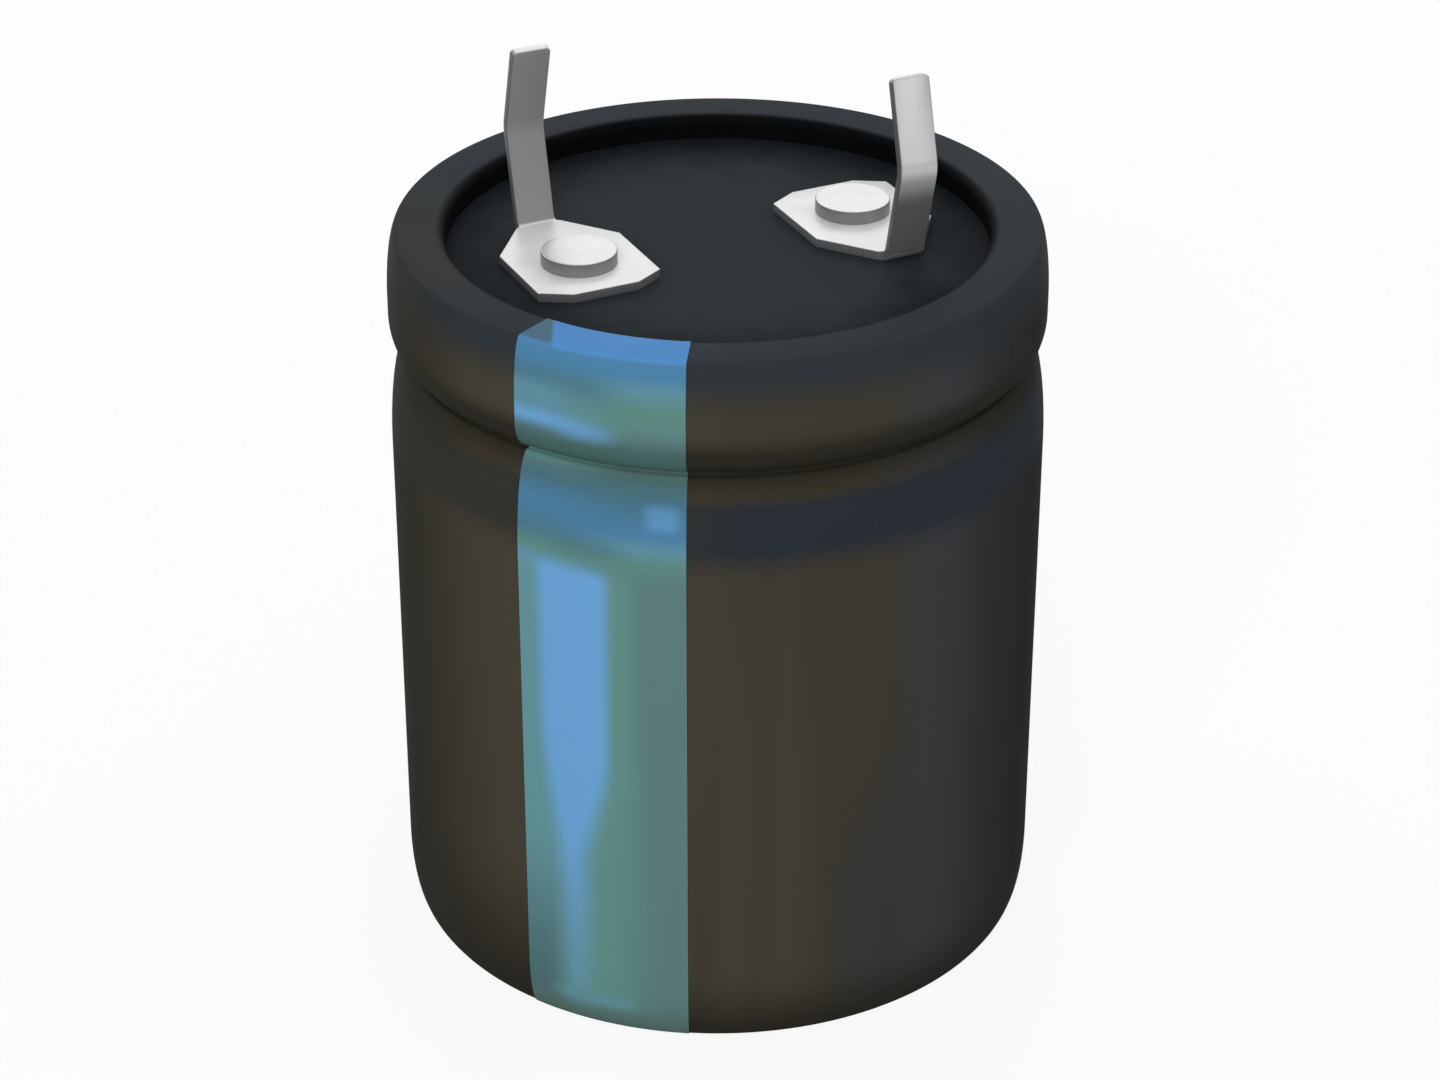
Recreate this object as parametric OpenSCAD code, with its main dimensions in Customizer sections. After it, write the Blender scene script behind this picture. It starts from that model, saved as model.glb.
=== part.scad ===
// Snap-in aluminium electrolytic capacitor, standing on its closed end with its terminals up.
// Millimetres. The origin is the middle of the foot, +Z is up and -Y is the front.

/* [Can] */
// Outside diameter of the bare can
can_d = 22; // [20:0.5:30]
// Height of the bare can, from its closed end to the top of its curl
can_h = 25; // [22:0.5:50]
// Wall of the can
can_wall = 0.4; // [0.3:0.05:0.5]
// Thickness of the closed end
can_floor = 0.8; // [0.6:0.1:1.5]
// How far the rounding of the closed end comes in
heel_in = 0.22; // [0.1:0.02:0.6]
// How high the rounding of the closed end goes up
heel_up = 1.76; // [0.8:0.1:2.5]
// How far the rim above the bead lies inside the can's outside
rim_in = 0.04; // [0.01:0.01:0.2]
// How far the rounding of the rim's top comes in
crown_in = 0.17; // [0.05:0.01:0.4]
// Height of the rounding of the rim's top
crown_up = 2.14; // [1:0.02:2.4]
// Width of the curl, from the rim's outside to its inner edge
curl_w = 1.6; // [1:0.05:2]
// Radius of the fold at the curl's inner edge
curl_r = 0.12; // [0.05:0.01:0.2]
// How deep the curl's edge bites into the rubber
curl_bite = 0.3; // [0.1:0.05:0.5]

/* [Bead] */
// Depth of the rolled bead
bead_depth = 0.77; // [0.6:0.01:0.9]
// Radius of the bottom of the bead
bead_r = 0.32; // [0.3:0.01:0.4]
// Height of the curved shoulder under the bead
shoulder_up = 3.31; // [2:0.05:5]
// Height of the curve from the bead up to the rim
rim_under = 0.78; // [0.6:0.02:0.9]

/* [Vent] */
// Length of each score line of the vent
vent_l = 12; // [6:0.5:16]
// Width of the score lines
vent_w = 0.4; // [0.2:0.05:0.8]
// Depth of the score lines
vent_depth = 0.35; // [0.1:0.05:0.5]

/* [Sleeve] */
// Thickness of the shrunk film
sleeve_wall = 0.2; // [0.1:0.02:0.24]
// Width of the lip that the film turns in under the closed end
foot_lip = 2.3; // [1:0.1:4]
// Thickness of the insulating disc on the closed end
end_disc_t = 0.2; // [0.1:0.05:0.5]
// How far the disc's edge lies inside the rounding of the closed end
end_disc_in = 0.28; // [0.1:0.02:0.8]

/* [Polarity stripe] */
// Direction of the middle of the stripe, turned from the front towards +X
stripe_turn = -20.2; // [-180:0.1:180]
// Width of the stripe, as an angle at the axis
stripe_angle = 30.1; // [10:0.1:60]
// Thickness of the printed ink
ink_t = 0.03; // [0.01:0.01:0.04]

/* [Deck] */
// Depth of the rubber face under the top of the curl
deck_drop = 0.67; // [0.55:0.01:1.2]
// Thickness of the rubber
rubber_t = 1; // [0.8:0.05:1.5]
// Thickness of the hard board
board_t = 1.65; // [1.5:0.05:2.5]

/* [Terminals] */
// Distance between the two rivets
rivet_span = 10.12; // [9:0.02:11]
// Direction of the positive rivet from +X
rivet_turn = 24.9; // [0:0.1:90]
// Direction in which the positive blade stands off from its rivet
blade_turn = -64.3; // [-80:0.1:-40]
// Thickness of the terminal sheet
sheet_t = 0.32; // [0.2:0.02:0.5]
// Width of the plate across the rivet
plate_w = 4.4; // [3.6:0.1:5]
// Reach of the plate's full width towards the blade
plate_front = 1.58; // [1:0.02:2]
// Reach of the plate's full width away from the blade
plate_back = 1.65; // [1.4:0.05:2]
// Reach of the plate's narrow end
plate_tail = 2.25; // [2.1:0.05:2.6]
// Width of the plate's narrow end
tail_w = 2.3; // [1.5:0.1:3]
// Reach of the taper from the plate to the blade
plate_taper = 3.6; // [3:0.05:4]
// Width of the blade
blade_w = 1.35; // [1:0.05:1.6]
// Distance from the rivet to the outer face of the blade's foot
blade_reach = 3.95; // [3.4:0.05:4.4]
// Radius inside the bend from plate to blade
bend_r = 0.25; // [0.15:0.05:0.6]
// Outward lean of the blade's lower half
lean_out = 13.6; // [5:0.1:18]
// Inward lean of the blade's upper half
lean_in = 15; // [5:0.1:20]
// Height of the kink between the two halves above the rubber
kink_h = 3.54; // [2.8:0.02:4.5]
// Radius inside the kink
kink_r = 1.2; // [0.5:0.1:2]
// Height of the blade's tip above the rubber
tip_h = 6.58; // [5.5:0.02:8]
// Bevel at the corners of the tip
tip_bevel = 0.12; // [0.05:0.01:0.3]

/* [Rivets] */
// Diameter of the rivet's shank
shank_d = 1.5; // [1.2:0.05:1.8]
// Diameter of the rivet's head
head_d = 2.55; // [2.2:0.05:3]
// Thickness of the rivet's head
head_t = 0.46; // [0.3:0.02:0.7]
// Rounding of the head's edge
head_round = 0.06; // [0.03:0.01:0.15]
// Diameter of the flared tail
tail_d = 2.5; // [2.1:0.05:2.8]
// Thickness of the flared tail
tail_t = 0.4; // [0.3:0.02:0.6]
// Diameter of the inner washer
washer_d = 3.4; // [2.9:0.1:4]
// Thickness of the inner washer
washer_t = 0.3; // [0.2:0.05:0.4]

/* [Winding] */
// Clearance between the tape and the can
winding_gap = 0.3; // [0.1:0.05:0.6]
// Space between the winding and the bead
winding_head = 1.2; // [0.9:0.1:2]
// Diameter of the hole that the mandrel leaves
mandrel_d = 2.6; // [1.5:0.1:4]
// Turns of paper that stand proud at each end
paper_turns = 20; // [6:1:30]
// How far the paper stands proud of the foils
paper_proud = 0.4; // [0.1:0.1:1]
// Width of the closing tape
tape_w = 13; // [6:0.5:14]
// Thickness of the closing tape
tape_t = 0.1; // [0.05:0.05:0.3]

/* [Tabs] */
// Width of the foil tabs
tab_w = 2.6; // [2.2:0.1:3]
// Thickness of the foil tabs
tab_t = 0.2; // [0.15:0.05:0.3]
// Distance from the can's axis to the riser of each tab
riser_at = 8.2; // [7.8:0.1:9]
// Radius inside the fold of each tab
fold_r = 0.4; // [0.2:0.1:0.6]
// How deep each tab goes into the winding
tab_dive = 4; // [2:0.5:8]
// How far each tab reaches past its rivet
tab_past = 1.5; // [1.2:0.1:2]

/* [Hidden] */

$fn = 96;
curve_steps = 12;
bead_steps = 16;
seat_steps = 4;
ink_margin = 2;
// How far a cut runs past the face that it opens
cut = 0.1;

// Heights, from the foot up
can_z = sleeve_wall + end_disc_t;
floor_z = can_z + can_floor;
heel_z = can_z + heel_up;
can_top = can_z + can_h;
deck_z = can_top - deck_drop;
rubber_z = deck_z - rubber_t;
board_z = rubber_z - board_t;

// The bead carries the board on the upper flank of its inner bulge
bulge_r = bead_r + can_wall;
seat_angle = seat_steps * 180 / bead_steps;
bead_z = board_z - bulge_r * sin(seat_angle);
shoulder_z = bead_z - bead_r - shoulder_up;
rim_z = bead_z + bead_r + rim_under;
crown_z = max(can_top - crown_up, rim_z);

// Radii of the can
can_r = can_d / 2;
rim_r = can_r - rim_in;
curl_in = rim_r - curl_w;
curl_out = curl_in + can_wall;
heel_r = can_r - heel_in;
crown_r = rim_r - crown_in;
bead_at = can_r - bead_depth + bead_r;
bore_r = can_r - can_wall;
mouth_r = rim_r - can_wall;
foot_hole_r = heel_r - foot_lip;
end_disc_r = heel_r - end_disc_in;

// The winding fills the can's bore between its closed end and the bead
tape_r = bore_r - winding_gap;
winding_r = tape_r - tape_t;
winding_top = bead_z - bulge_r - winding_head;
winding_h = winding_top - floor_z;
turn_pitch = (winding_r - mandrel_d / 2) / paper_turns;

// The rivet clamps plate, rubber, board, tab and washer
rivet_at = rivet_span / 2;
plate_top = deck_z + sheet_t;
washer_top = board_z - tab_t;
tail_top = washer_top - washer_t;
tail_z = tail_top - tail_t;

// Points along an ellipse's arc, from angle a to angle b
function arc(at, rx, ry, a, b, steps) = [
    for (i = [0 : steps])
        let (t = a + (b - a) * i / steps)
            [at[0] + rx * cos(t), at[1] + ry * sin(t)]
];

function reversed(points) = [for (i = [len(points) - 1 : -1 : 0]) points[i]];

function trimmed(points, n) = [for (i = [n : len(points) - 1 - n]) points[i]];

// Outline of the closed end's rounding, s outside the can, down to height z
function heel(s, z) = arc([heel_r, heel_z], heel_in + s, heel_z - z, -90, 0, curve_steps);

// Outline from the shoulder to the rim, s outside the can
function beaded_wall(s) = concat(
    arc([bead_at, shoulder_z], can_r + s - bead_at, shoulder_up + s, 0, 90, curve_steps),
    arc([bead_at, bead_z], bead_r - s, bead_r - s, 270, 90, bead_steps),
    arc([bead_at, rim_z], rim_r + s - bead_at, rim_under + s, -90, 0, curve_steps)
);

// Outline over the rim's top to the curl's inner edge, s outside the can
function crown(s) = concat(
    arc([crown_r, crown_z], crown_in + s, can_top - crown_z + s, 0, 90, curve_steps),
    arc([curl_in + curl_r, can_top - curl_r], curl_r + s, curl_r + s, 90, 180, curve_steps / 2)
);

// Outline of the whole film from its foot to the inside of the rim, s outside the can
function film(s) = concat(heel(s, 0), beaded_wall(s), crown(s));

// Drawn aluminium cup: closed end, rolled bead and curl that bites into the rubber
module can() {
    color([0.78, 0.79, 0.8])
    difference() {
        rotate_extrude()
        polygon(concat(
            [[0, can_z]],
            heel(0, can_z),
            beaded_wall(0),
            crown(0),
            [
                [curl_in, deck_z - curl_bite],
                [curl_out, deck_z - curl_bite],
                [curl_out, can_top - can_wall],
                [mouth_r, can_top - can_wall]
            ],
            reversed(beaded_wall(-can_wall)),
            reversed(arc([bore_r - can_wall, floor_z + can_wall],
                can_wall, can_wall, -90, 0, curve_steps / 2)),
            [[0, floor_z]]
        ));
        for (a = [0, 90])
            rotate([0, 0, a])
            translate([-vent_l / 2, -vent_w / 2, can_z - cut])
            cube([vent_l, vent_w, vent_depth + cut]);
    }
}

// Heat-shrunk film over the can, from its lip at the foot to its lip inside the rim
module sleeve() {
    color([0.17, 0.17, 0.16])
    rotate_extrude()
    polygon(concat(
        [[foot_hole_r, 0]],
        film(sleeve_wall),
        [[curl_in - sleeve_wall, deck_z], [curl_in, deck_z]],
        reversed(crown(0)),
        reversed(beaded_wall(0)),
        reversed(heel(0, can_z)),
        [
            [end_disc_r, can_z],
            [end_disc_r, sleeve_wall],
            [foot_hole_r, sleeve_wall]
        ]
    ));
}

// Printed band on the film, from just above the foot to the inner edge of the rim
module polarity_stripe() {
    color([0.33, 0.57, 0.68])
    rotate([0, 0, stripe_turn - stripe_angle / 2 - 90])
    rotate_extrude(angle = stripe_angle)
    polygon(concat(
        trimmed(film(sleeve_wall + ink_t), ink_margin),
        reversed(trimmed(film(sleeve_wall), ink_margin))
    ));
}

// Insulating disc between the can's closed end and the sleeve's lip
module end_disc() {
    color([0.2, 0.2, 0.2])
    translate([0, 0, sleeve_wall])
    cylinder(h = end_disc_t, r = end_disc_r);
}

// Holes of both rivets through whatever lies between two heights
module rivet_holes(z, h) {
    for (side = [0, 180])
        rotate([0, 0, rivet_turn + side])
        translate([rivet_at, 0, z - cut])
        cylinder(h = h + 2 * cut, d = shank_d);
}

// Rubber face of the deck, with the groove that the curl presses into it
module seal_disc() {
    color([0.15, 0.16, 0.17])
    difference() {
        rotate_extrude()
        polygon([
            [0, rubber_z],
            [mouth_r, rubber_z],
            [mouth_r, deck_z],
            [curl_out, deck_z],
            [curl_out, deck_z - curl_bite],
            [curl_in, deck_z - curl_bite],
            [curl_in, deck_z],
            [0, deck_z]
        ]);
        rivet_holes(rubber_z, rubber_t);
    }
}

// Hard board under the rubber, coved at its edge to sit on the bead
module terminal_board() {
    cove = arc([bead_at, bead_z], bulge_r, bulge_r, 180 - seat_angle, 90, seat_steps);
    edge_r = min(bead_at, mouth_r);
    color([0.45, 0.3, 0.18])
    difference() {
        rotate_extrude()
        polygon(concat(
            [[0, board_z]],
            [for (p = cove) [min(p[0], edge_r), p[1]]],
            [[edge_r, rubber_z], [0, rubber_z]]
        ));
        rivet_holes(board_z, board_t);
    }
}

// Side view of a terminal: plate, bend, blade leaning out, kink, blade leaning in
module terminal_side() {
    out_a = 90 - lean_out;
    in_a = 90 + lean_in;
    bend_at = blade_reach - bend_r - sheet_t;
    bend_z = plate_top + bend_r;
    foot_x = bend_at + (bend_r + sheet_t) * sin(out_a);
    foot_z = bend_z - (bend_r + sheet_t) * cos(out_a);
    // The outer faces of both halves would meet at this corner
    corner_z = deck_z + kink_h;
    corner_x = foot_x + (corner_z - foot_z) / tan(out_a);
    out_r = kink_r + sheet_t;
    back = out_r * tan((in_a - out_a) / 2);
    kink_at = [
        corner_x - back * cos(out_a) - out_r * sin(out_a),
        corner_z - back * sin(out_a) + out_r * cos(out_a)
    ];
    tip_z = deck_z + tip_h;
    outer_x = kink_at[0] + out_r * sin(in_a);
    outer_z = kink_at[1] - out_r * cos(in_a);
    tip_x = outer_x + (tip_z - outer_z) / tan(in_a);
    polygon(concat(
        [[-plate_tail, plate_top], [-plate_tail, deck_z], [bend_at, deck_z]],
        arc([bend_at, bend_z], bend_r + sheet_t, bend_r + sheet_t, -90, out_a - 90, curve_steps / 2),
        arc(kink_at, out_r, out_r, out_a - 90, in_a - 90, curve_steps),
        [[tip_x, tip_z], [tip_x - sheet_t * sin(in_a), tip_z + sheet_t * cos(in_a)]],
        arc(kink_at, kink_r, kink_r, in_a - 90, out_a - 90, curve_steps),
        arc([bend_at, bend_z], bend_r, bend_r, out_a - 90, -90, curve_steps / 2)
    ));
}

// Front view of a terminal, which cuts the blade to its width and bevels its tip
module terminal_front() {
    tip_z = deck_z + tip_h;
    polygon([
        [-plate_w / 2, deck_z],
        [plate_w / 2, deck_z],
        [plate_w / 2, plate_top],
        [blade_w / 2, plate_top],
        [blade_w / 2, tip_z - tip_bevel],
        [blade_w / 2 - tip_bevel, tip_z],
        [-blade_w / 2 + tip_bevel, tip_z],
        [-blade_w / 2, tip_z - tip_bevel],
        [-blade_w / 2, plate_top],
        [-plate_w / 2, plate_top]
    ]);
}

// Plate and blade seen from above, before the blade is bent up
module terminal_plan() {
    far = blade_reach + kink_h;
    polygon([
        [far, blade_w / 2],
        [plate_taper, blade_w / 2],
        [plate_front, plate_w / 2],
        [-plate_back, plate_w / 2],
        [-plate_tail, tail_w / 2],
        [-plate_tail, -tail_w / 2],
        [-plate_back, -plate_w / 2],
        [plate_front, -plate_w / 2],
        [plate_taper, -blade_w / 2],
        [far, -blade_w / 2]
    ]);
}

// One terminal, cut and folded from sheet, with the hole for its rivet
module terminal(side) {
    rotate([0, 0, side])
    rotate([0, 0, rivet_turn])
    translate([rivet_at, 0, 0])
    rotate([0, 0, blade_turn - rivet_turn])
    difference() {
        intersection() {
            rotate([90, 0, 0])
            linear_extrude(height = plate_w, center = true)
            terminal_side();
            rotate([90, 0, 90])
            translate([0, 0, -plate_tail])
            linear_extrude(height = plate_tail + blade_reach + kink_h)
            terminal_front();
            translate([0, 0, deck_z])
            linear_extrude(height = tip_h)
            terminal_plan();
        }
        translate([0, 0, deck_z - cut])
        cylinder(h = sheet_t + 2 * cut, d = shank_d);
    }
}

module terminal_negative() {
    color([0.86, 0.86, 0.85])
    terminal(180);
}

module terminal_positive() {
    color([0.86, 0.86, 0.85])
    terminal(0);
}

// One rivet: head on the plate, shank through the deck, tail flared over the washer
module rivet(side) {
    rotate([0, 0, rivet_turn + side])
    translate([rivet_at, 0, 0])
    rotate_extrude()
    polygon(concat(
        [[0, tail_z], [tail_d / 2 - head_round, tail_z], [tail_d / 2, tail_z + head_round]],
        [[tail_d / 2, tail_top], [shank_d / 2, tail_top]],
        [[shank_d / 2, plate_top], [head_d / 2, plate_top]],
        arc([head_d / 2 - head_round, plate_top + head_t - head_round],
            head_round, head_round, 0, 90, curve_steps / 2),
        [[0, plate_top + head_t]]
    ));
}

module rivet_negative() {
    color([0.92, 0.92, 0.91])
    rivet(180);
}

module rivet_positive() {
    color([0.92, 0.92, 0.91])
    rivet(0);
}

// One washer under the tail of its rivet
module washer(side) {
    rotate([0, 0, rivet_turn + side])
    translate([rivet_at, 0, tail_top])
    difference() {
        cylinder(h = washer_t, d = washer_d);
        translate([0, 0, -cut])
        cylinder(h = washer_t + 2 * cut, d = shank_d);
    }
}

module washer_negative() {
    color([0.75, 0.76, 0.77])
    washer(180);
}

module washer_positive() {
    color([0.75, 0.76, 0.77])
    washer(0);
}

// One foil tab: up out of the winding, folded under the board and held by its rivet
module tab(side) {
    outer_fold = fold_r + tab_t;
    fold_at = [riser_at - outer_fold, board_z - outer_fold];
    leg_end = rivet_at - tab_past;
    low_z = winding_top - tab_dive;
    rotate([0, 0, rivet_turn + side])
    difference() {
        rotate([90, 0, 0])
        linear_extrude(height = tab_w, center = true)
        polygon(concat(
            [[leg_end, board_z - tab_t], [leg_end, board_z]],
            reversed(arc(fold_at, outer_fold, outer_fold, 0, 90, curve_steps / 2)),
            [[riser_at, low_z], [riser_at - tab_t, low_z]],
            arc(fold_at, fold_r, fold_r, 0, 90, curve_steps / 2)
        ));
        translate([rivet_at, 0, board_z - tab_t - cut])
        cylinder(h = tab_t + 2 * cut, d = shank_d);
    }
}

module tab_negative() {
    color([0.8, 0.81, 0.83])
    tab(180);
}

module tab_positive() {
    color([0.8, 0.81, 0.83])
    tab(0);
}

// Corners of the paper turns that stand proud at one end, from the axis outwards
function paper_ends(foil_z, paper_z) = [
    for (i = [0 : paper_turns - 1])
        for (p = [[0, paper_z], [0.5, paper_z], [0.5, foil_z], [1, foil_z]])
            [mandrel_d / 2 + (i + p[0]) * turn_pitch, p[1]]
];

// Roll of foils and paper, standing on the can's floor, with slots where the tabs go in
module winding() {
    color([0.78, 0.74, 0.64])
    difference() {
        rotate_extrude()
        polygon(concat(
            paper_ends(floor_z + paper_proud, floor_z),
            reversed(paper_ends(winding_top - paper_proud, winding_top))
        ));
        for (side = [0, 180])
            rotate([0, 0, rivet_turn + side])
            translate([riser_at - tab_t, -tab_w / 2, winding_top - tab_dive])
            cube([tab_t, tab_w, tab_dive + cut]);
    }
}

// Tape around the winding
module closing_tape() {
    color([0.85, 0.7, 0.35])
    translate([0, 0, floor_z + (winding_h - tape_w) / 2])
    difference() {
        cylinder(h = tape_w, r = tape_r);
        translate([0, 0, -cut])
        cylinder(h = tape_w + 2 * cut, r = winding_r);
    }
}

sleeve();
polarity_stripe();
can();
end_disc();
seal_disc();
terminal_board();
terminal_negative();
terminal_positive();
rivet_negative();
rivet_positive();
washer_negative();
washer_positive();
tab_negative();
tab_positive();
winding();
closing_tape();
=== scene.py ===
import math

import bmesh
import bpy
from mathutils import Matrix, Vector


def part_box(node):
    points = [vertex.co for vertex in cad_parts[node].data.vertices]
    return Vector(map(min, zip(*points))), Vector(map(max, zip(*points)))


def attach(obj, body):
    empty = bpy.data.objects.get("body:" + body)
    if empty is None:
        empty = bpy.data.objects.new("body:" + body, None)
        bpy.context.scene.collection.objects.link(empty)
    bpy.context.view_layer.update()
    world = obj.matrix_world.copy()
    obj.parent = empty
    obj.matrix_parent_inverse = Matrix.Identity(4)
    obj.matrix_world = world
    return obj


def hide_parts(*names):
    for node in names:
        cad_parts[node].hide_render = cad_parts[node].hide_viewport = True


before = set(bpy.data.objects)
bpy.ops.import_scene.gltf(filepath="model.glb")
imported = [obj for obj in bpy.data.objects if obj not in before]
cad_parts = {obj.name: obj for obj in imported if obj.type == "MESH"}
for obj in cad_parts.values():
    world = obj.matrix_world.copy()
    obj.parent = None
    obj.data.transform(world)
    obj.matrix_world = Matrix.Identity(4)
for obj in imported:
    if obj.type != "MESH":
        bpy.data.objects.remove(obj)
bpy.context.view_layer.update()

mm = 0.001    # the frame is in metres, and the sizes below are in millimetres
scene = bpy.context.scene

# heights and radii that the frame already holds, in millimetres
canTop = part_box("can")[1].z / mm
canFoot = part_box("can")[0].z / mm
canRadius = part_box("can")[1].x / mm
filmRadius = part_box("sleeve")[1].x / mm
filmWall = filmRadius - canRadius
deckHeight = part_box("seal_disc")[1].z / mm
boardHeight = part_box("terminal_board")[0].z / mm
print("frame read: can", round(canRadius * 2, 2), "mm wide, deck at", round(deckHeight, 2), "mm")


# node helpers

backFades = (84, 125)    # degrees from the front where the can's two sides fade into one look for its back


def addNode(tree, kind, inputs=None, **settings):
    made = tree.nodes.new(kind)
    for name, value in settings.items():
        setattr(made, name, value)
    for key, value in (inputs or {}).items():
        if isinstance(value, bpy.types.NodeSocket):
            tree.links.new(value, made.inputs[key])
        else:
            made.inputs[key].default_value = value
    return made


def calc(tree, operation, first, second=0.0, clamp=False):
    made = addNode(tree, "ShaderNodeMath", {0: first, 1: second}, operation=operation, use_clamp=clamp)
    return made.outputs[0]


def times(tree, first, second):
    return calc(tree, "MULTIPLY", first, second)


def swing(tree, pattern, strength=1.0):
    # a pattern's ups and downs around its middle
    return times(tree, calc(tree, "SUBTRACT", pattern, 0.5), strength)


def ranged(tree, value, low, high, toLow=0.0, toHigh=1.0, smooth=True):
    made = addNode(tree, "ShaderNodeMapRange", {
        "Value": value, "From Min": low, "From Max": high, "To Min": toLow, "To Max": toHigh,
    }, interpolation_type="SMOOTHSTEP" if smooth else "LINEAR")
    return made.outputs[0]


def blend(tree, share, first, second):
    made = addNode(tree, "ShaderNodeMix", {0: share, 6: first, 7: second}, data_type="RGBA")
    return made.outputs[2]


def objectPlace(tree):
    return addNode(tree, "ShaderNodeTexCoord").outputs["Object"]


def placeParts(tree):
    return addNode(tree, "ShaderNodeSeparateXYZ", {0: objectPlace(tree)}).outputs


def directionRound(tree):
    # degrees round the can from the front, positive towards +X
    parts = placeParts(tree)
    turn = calc(tree, "ARCTAN2", parts[0], times(tree, parts[1], -1.0))
    return times(tree, turn, 180 / math.pi)


def roundShare(tree, turn, low, high, behind=0.5):
    # 0 to 1 between two directions, and one value at the back, where both ends meet
    share = ranged(tree, turn, low, high)
    back = ranged(tree, calc(tree, "ABSOLUTE", turn), *backFades)
    return calc(tree, "ADD", share, times(tree, calc(tree, "SUBTRACT", behind, share), back))


def heightUp(tree):
    return calc(tree, "DIVIDE", placeParts(tree)[2], mm)


def distanceOut(tree):
    parts = placeParts(tree)
    squares = calc(tree, "ADD", calc(tree, "POWER", parts[0], 2.0), calc(tree, "POWER", parts[1], 2.0))
    return calc(tree, "DIVIDE", calc(tree, "SQRT", squares), mm)


# camera, lamps and floor

studio = {
    "cameraTilt": 28.86,         # degrees above the deck
    "cameraDistance": 131.9,     # to the point that the camera looks at
    "lookHeight": 13.37,
    "lens": 93.96,
    "sensor": 36,
    "shiftX": 0.0015,
    "clip": (5, 5000),
    "floorRadius": 150,
    "floorSides": 96,
    "floorDrop": 0.01,           # keeps the floor just clear of the foot
    "floorColour": (0.9, 0.9, 0.9),
    "floorBounce": (0.35, 0.35, 0.35),    # the floor's colour as matte surfaces see it
    "floorGlow": (0.87, 1.0),    # share of plain white in the floor, near the can and at the rim
    "floorFade": (55, 145),      # distances from the can between which that share changes
    "floorBright": (20, 100),    # distances behind the can where gloss begins to find the floor bright
    "roomLevel": 0.18,           # what gloss and metal see around the can, where the room is dim
    "backdropDepth": (0.3, 0.75),      # the world's bright part behind the can: how far back it begins
    "backdropHeight": (-0.05, 0.3),    # and how high
    "frontDepth": (-0.6, -0.2),        # its paler part, high up behind the camera
    "frontHeight": (0.15, 0.45),
    "frontSky": 0.22,            # how bright that part is
    "fillLevel": 0.4,            # what the world gives to matte surfaces
}

# each lamp: turn from the front, height angle, distance, width, height, level, tint, seen in gloss
lamps = {
    "overheadBox": (160, 78, 260, 200, 160, 0.04, (1.0, 1.0, 1.0), True),
    "frontBox": (-12, 26, 300, 160, 200, 0.66, (1.0, 0.99, 0.97), False),
    "rearBox": (180, 22, 300, 200, 200, 0.34, (1.0, 1.0, 0.99), False),
    "rightBox": (112, 14, 300, 160, 160, 0.22, (1.0, 1.0, 1.0), False),
    "leftBox": (-112, 14, 300, 160, 160, 0.22, (1.0, 1.0, 1.0), False),
    "bladeBox": (51, 12, 150, 120, 110, 0.1, (0.98, 0.99, 1.0), True),
}


def aroundCan(turn, tilt, distance):
    turn, tilt = math.radians(turn), math.radians(tilt)
    flat = distance * math.cos(tilt)
    return Vector((flat * math.sin(turn), -flat * math.cos(turn), distance * math.sin(tilt)))


def aimAt(thing, target):
    thing.rotation_euler = (target - thing.location).to_track_quat("-Z", "Y").to_euler()


def placeCamera():
    data = bpy.data.cameras.new("photoCamera")
    data.lens, data.sensor_width = studio["lens"], studio["sensor"]
    data.shift_x = studio["shiftX"]
    data.clip_start, data.clip_end = [distance * mm for distance in studio["clip"]]
    camera = bpy.data.objects.new("photoCamera", data)
    scene.collection.objects.link(camera)
    target = Vector((0, 0, studio["lookHeight"] * mm))
    camera.location = target + aroundCan(0, studio["cameraTilt"], studio["cameraDistance"] * mm)
    aimAt(camera, target)
    scene.camera = camera


def placeLamp(name, turn, tilt, distance, width, height, level, tint, inGloss):
    data = bpy.data.lights.new(name, "AREA")
    data.shape, data.size, data.size_y = "RECTANGLE", width * mm, height * mm
    data.energy = level * (math.pi * distance * mm) ** 2    # level 1 shows white as white
    data.color = tint
    lamp = bpy.data.objects.new(name, data)
    scene.collection.objects.link(lamp)
    target = Vector((0, 0, deckHeight * mm))
    lamp.location = target + aroundCan(turn, tilt, distance * mm)
    aimAt(lamp, target)
    lamp.visible_camera = False
    lamp.visible_glossy = inGloss


def whiteShare(tree, backdrop):
    # which rays see the white studio, and how bright: gloss finds it bright only at the backdrop
    path = addNode(tree, "ShaderNodeLightPath").outputs
    plain = calc(tree, "ADD", path["Is Camera Ray"], path["Is Transmission Ray"], clamp=True)
    inGloss = ranged(tree, backdrop, 0.0, 1.0, studio["roomLevel"], 1.0, smooth=False)
    level = calc(tree, "MAXIMUM", plain, inGloss)
    return calc(tree, "ADD", plain, path["Is Glossy Ray"], clamp=True), level


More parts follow.
